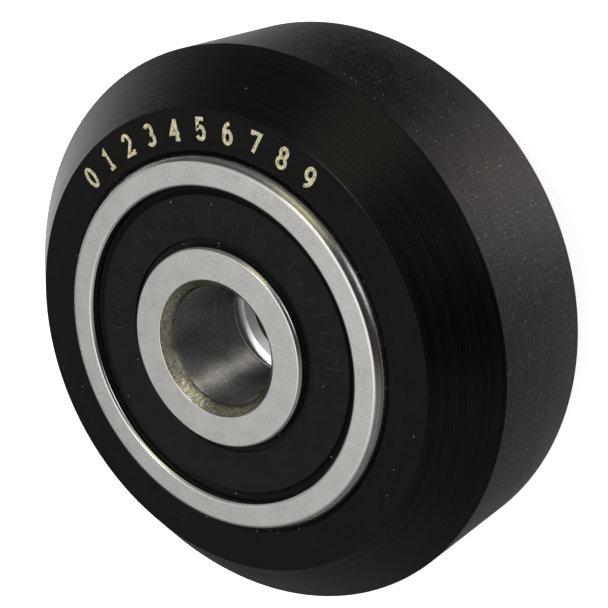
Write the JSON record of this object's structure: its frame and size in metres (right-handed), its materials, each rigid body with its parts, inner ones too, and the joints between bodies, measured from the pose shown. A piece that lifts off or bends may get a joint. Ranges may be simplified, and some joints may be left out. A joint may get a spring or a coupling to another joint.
{
  "type": "v wheel",
  "caption": "Small solid plastic wheel with a flat tread and bevelled sides, for a slotted rail, turning on sealed ball bearings with a thin spacer between their inner rings.",
  "frame": {"origin": "centre of the wheel, on its axis and half way between the two bearings", "axes": "+Z along the wheel's axis, out of the front bearing; the wheel lies on its rear bearing's faces"},
  "size_m": [0.0238, 0.0238, 0.011],
  "materials": {
    "wheel_acetal": "turned black acetal, satin, with fine lathe lines on the bevels",
    "bearing_steel": "hardened bearing steel, faces ground to a satin, edges polished",
    "seal_rubber": "matt black moulded rubber",
    "ball_steel": "polished hardened steel",
    "cage_steel": "pressed mild steel sheet, plain",
    "spacer_steel": "turned steel with bright zinc plating",
    "gold_marks": "pale gold print on the wheel's face"
  },
  "bodies": {
    "hub": {"spacer_shim": "spacer_steel", "front_inner_ring": "bearing_steel", "rear_inner_ring": "bearing_steel"},
    "wheel_with_outer_rings": {"wheel": "wheel_acetal", "front_outer_ring": "bearing_steel", "front_outboard_seal": "seal_rubber", "front_inboard_seal": "seal_rubber", "rear_outer_ring": "bearing_steel", "rear_outboard_seal": "seal_rubber", "rear_inboard_seal": "seal_rubber"},
    "front_cage": {"front_outboard_cage_half": "cage_steel", "front_inboard_cage_half": "cage_steel", "front_cage_rivets": "cage_steel"},
    "front_rolling_ball_1": {"front_ball_1": "ball_steel"},
    "front_rolling_ball_2": {"front_ball_2": "ball_steel"},
    "front_rolling_ball_3": {"front_ball_3": "ball_steel"},
    "front_rolling_ball_4": {"front_ball_4": "ball_steel"},
    "front_rolling_ball_5": {"front_ball_5": "ball_steel"},
    "front_rolling_ball_6": {"front_ball_6": "ball_steel"},
    "front_rolling_ball_7": {"front_ball_7": "ball_steel"},
    "rear_cage": {"rear_outboard_cage_half": "cage_steel", "rear_inboard_cage_half": "cage_steel", "rear_cage_rivets": "cage_steel"},
    "rear_rolling_ball_1": {"rear_ball_1": "ball_steel"},
    "rear_rolling_ball_2": {"rear_ball_2": "ball_steel"},
    "rear_rolling_ball_3": {"rear_ball_3": "ball_steel"},
    "rear_rolling_ball_4": {"rear_ball_4": "ball_steel"},
    "rear_rolling_ball_5": {"rear_ball_5": "ball_steel"},
    "rear_rolling_ball_6": {"rear_ball_6": "ball_steel"},
    "rear_rolling_ball_7": {"rear_ball_7": "ball_steel"}
  },
  "joints": [
    {"name": "wheel_spin", "type": "hinge", "parent": "hub", "child": "wheel_with_outer_rings", "pos_m": [0, 0, 0], "axis": [0, 0, 1], "continuous": true},
    {"name": "front_cage_spin", "type": "hinge", "parent": "hub", "child": "front_cage", "pos_m": [0, 0, 0.003], "axis": [0, 0, 1], "continuous": true},
    {"name": "front_ball_1_spin", "type": "hinge", "parent": "front_cage", "child": "front_rolling_ball_1", "pos_m": [0.00525, 0, 0.003], "axis": [0, 0, 1], "continuous": true},
    {"name": "front_ball_2_spin", "type": "hinge", "parent": "front_cage", "child": "front_rolling_ball_2", "pos_m": [0.00327, 0.0041, 0.003], "axis": [0, 0, 1], "continuous": true},
    {"name": "front_ball_3_spin", "type": "hinge", "parent": "front_cage", "child": "front_rolling_ball_3", "pos_m": [-0.00117, 0.00512, 0.003], "axis": [0, 0, 1], "continuous": true},
    {"name": "front_ball_4_spin", "type": "hinge", "parent": "front_cage", "child": "front_rolling_ball_4", "pos_m": [-0.00473, 0.00228, 0.003], "axis": [0, 0, 1], "continuous": true},
    {"name": "front_ball_5_spin", "type": "hinge", "parent": "front_cage", "child": "front_rolling_ball_5", "pos_m": [-0.00473, -0.00228, 0.003], "axis": [0, 0, 1], "continuous": true},
    {"name": "front_ball_6_spin", "type": "hinge", "parent": "front_cage", "child": "front_rolling_ball_6", "pos_m": [-0.00117, -0.00512, 0.003], "axis": [0, 0, 1], "continuous": true},
    {"name": "front_ball_7_spin", "type": "hinge", "parent": "front_cage", "child": "front_rolling_ball_7", "pos_m": [0.00327, -0.0041, 0.003], "axis": [0, 0, 1], "continuous": true},
    {"name": "rear_cage_spin", "type": "hinge", "parent": "hub", "child": "rear_cage", "pos_m": [0, 0, -0.003], "axis": [0, 0, 1], "continuous": true},
    {"name": "rear_ball_1_spin", "type": "hinge", "parent": "rear_cage", "child": "rear_rolling_ball_1", "pos_m": [0.00525, 0, -0.003], "axis": [0, 0, 1], "continuous": true},
    {"name": "rear_ball_2_spin", "type": "hinge", "parent": "rear_cage", "child": "rear_rolling_ball_2", "pos_m": [0.00327, 0.0041, -0.003], "axis": [0, 0, 1], "continuous": true},
    {"name": "rear_ball_3_spin", "type": "hinge", "parent": "rear_cage", "child": "rear_rolling_ball_3", "pos_m": [-0.00117, 0.00512, -0.003], "axis": [0, 0, 1], "continuous": true},
    {"name": "rear_ball_4_spin", "type": "hinge", "parent": "rear_cage", "child": "rear_rolling_ball_4", "pos_m": [-0.00473, 0.00228, -0.003], "axis": [0, 0, 1], "continuous": true},
    {"name": "rear_ball_5_spin", "type": "hinge", "parent": "rear_cage", "child": "rear_rolling_ball_5", "pos_m": [-0.00473, -0.00228, -0.003], "axis": [0, 0, 1], "continuous": true},
    {"name": "rear_ball_6_spin", "type": "hinge", "parent": "rear_cage", "child": "rear_rolling_ball_6", "pos_m": [-0.00117, -0.00512, -0.003], "axis": [0, 0, 1], "continuous": true},
    {"name": "rear_ball_7_spin", "type": "hinge", "parent": "rear_cage", "child": "rear_rolling_ball_7", "pos_m": [0.00327, -0.0041, -0.003], "axis": [0, 0, 1], "continuous": true}
  ],
  "couplings": [
    {"joint": "front_cage_spin", "follows": "wheel_spin", "ratio": 0.63229},
    {"joint": "front_ball_1_spin", "follows": "wheel_spin", "ratio": 1.7576},
    {"joint": "front_ball_2_spin", "follows": "wheel_spin", "ratio": 1.7576},
    {"joint": "front_ball_3_spin", "follows": "wheel_spin", "ratio": 1.7576},
    {"joint": "front_ball_4_spin", "follows": "wheel_spin", "ratio": 1.7576},
    {"joint": "front_ball_5_spin", "follows": "wheel_spin", "ratio": 1.7576},
    {"joint": "front_ball_6_spin", "follows": "wheel_spin", "ratio": 1.7576},
    {"joint": "front_ball_7_spin", "follows": "wheel_spin", "ratio": 1.7576},
    {"joint": "rear_cage_spin", "follows": "wheel_spin", "ratio": 0.63229},
    {"joint": "rear_ball_1_spin", "follows": "wheel_spin", "ratio": 1.7576},
    {"joint": "rear_ball_2_spin", "follows": "wheel_spin", "ratio": 1.7576},
    {"joint": "rear_ball_3_spin", "follows": "wheel_spin", "ratio": 1.7576},
    {"joint": "rear_ball_4_spin", "follows": "wheel_spin", "ratio": 1.7576},
    {"joint": "rear_ball_5_spin", "follows": "wheel_spin", "ratio": 1.7576},
    {"joint": "rear_ball_6_spin", "follows": "wheel_spin", "ratio": 1.7576},
    {"joint": "rear_ball_7_spin", "follows": "wheel_spin", "ratio": 1.7576}
  ]
}
